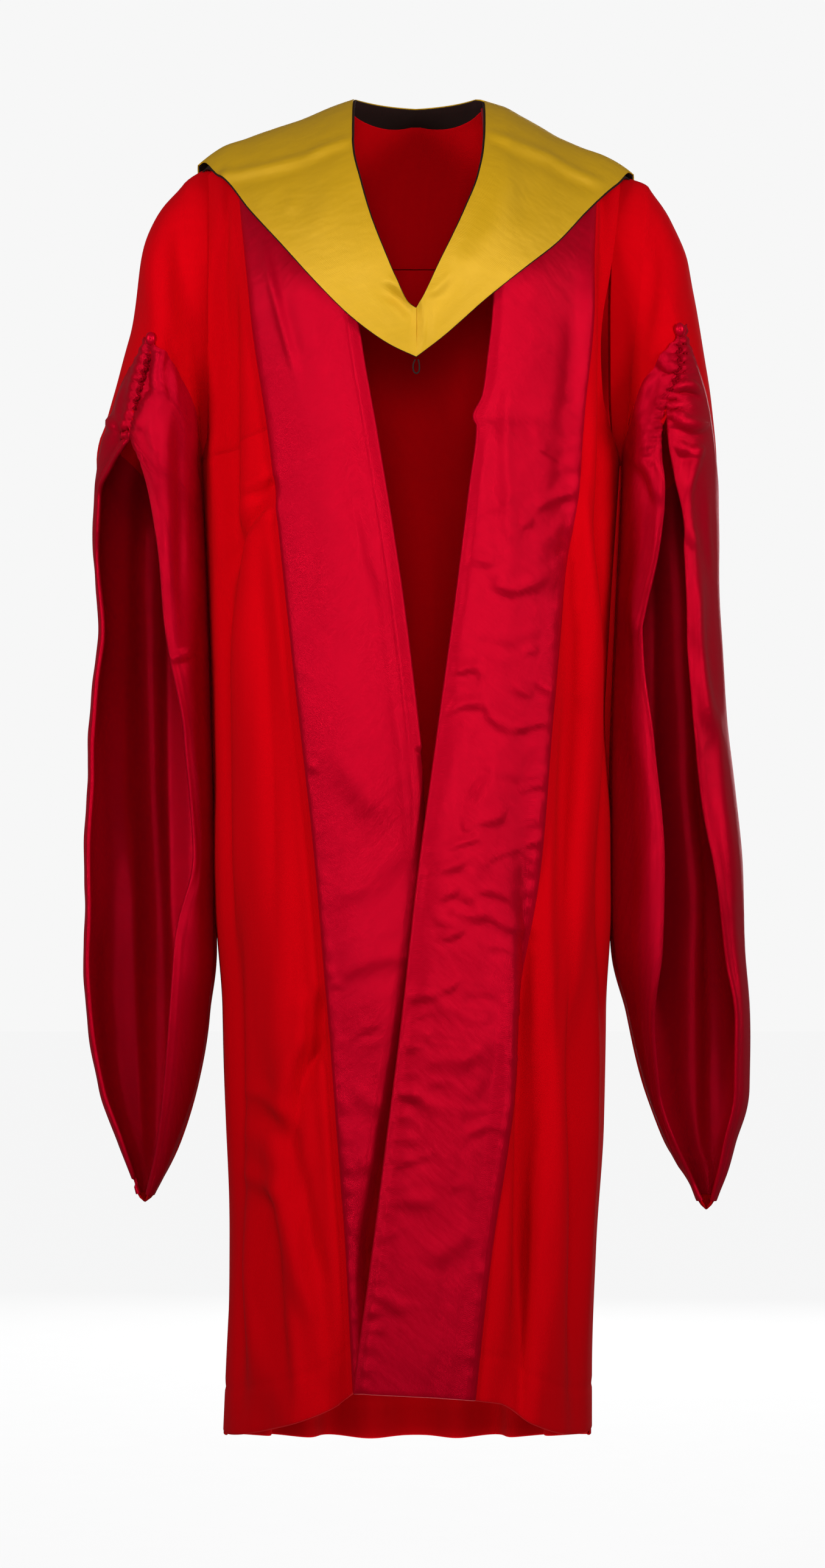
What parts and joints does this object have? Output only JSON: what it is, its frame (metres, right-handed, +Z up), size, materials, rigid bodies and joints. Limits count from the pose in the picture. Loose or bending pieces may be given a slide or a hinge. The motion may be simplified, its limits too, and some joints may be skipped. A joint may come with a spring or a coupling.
{
  "type": "graduation gown with hood",
  "caption": "Open doctoral gown with full-length silk facings, long pointed slit sleeves gathered by a cord, and a satin hood worn as a wide V over the shoulders.",
  "frame": {"origin": "middle of the shoulder line, where the wearer holds the gown", "axes": "+X to the viewer's right, -Y to the front, +Z up the gown"},
  "size_m": [0.6088, 0.325, 1.2465],
  "materials": {
    "scarlet_cloth": "matt wool-like cloth",
    "crimson_silk": "silk with a soft sheen",
    "gold_satin": "smooth satin",
    "dark_cloth": "matt dark cloth"
  },
  "bodies": {
    "root": {"back_yoke": "scarlet_cloth", "back": "scarlet_cloth", "front_left": "scarlet_cloth", "front_right": "scarlet_cloth", "facing_left": "crimson_silk", "facing_right": "crimson_silk", "sleeve_left": "scarlet_cloth", "sleeve_right": "scarlet_cloth", "sleeve_lining_left": "crimson_silk", "sleeve_lining_right": "crimson_silk", "sleeve_turnback_inner_left": "crimson_silk", "sleeve_turnback_inner_right": "crimson_silk", "sleeve_turnback_outer_left": "crimson_silk", "sleeve_turnback_outer_right": "crimson_silk", "gather_cord_left": "crimson_silk", "gather_cord_right": "crimson_silk", "button_left": "crimson_silk", "button_right": "crimson_silk", "hood_shell_left": "dark_cloth", "hood_shell_right": "dark_cloth", "hood_shell_back": "dark_cloth", "hood_lining_left": "gold_satin", "hood_lining_right": "gold_satin", "hood_lining_back": "gold_satin", "hood_loop": "dark_cloth"}
  },
  "joints": []
}
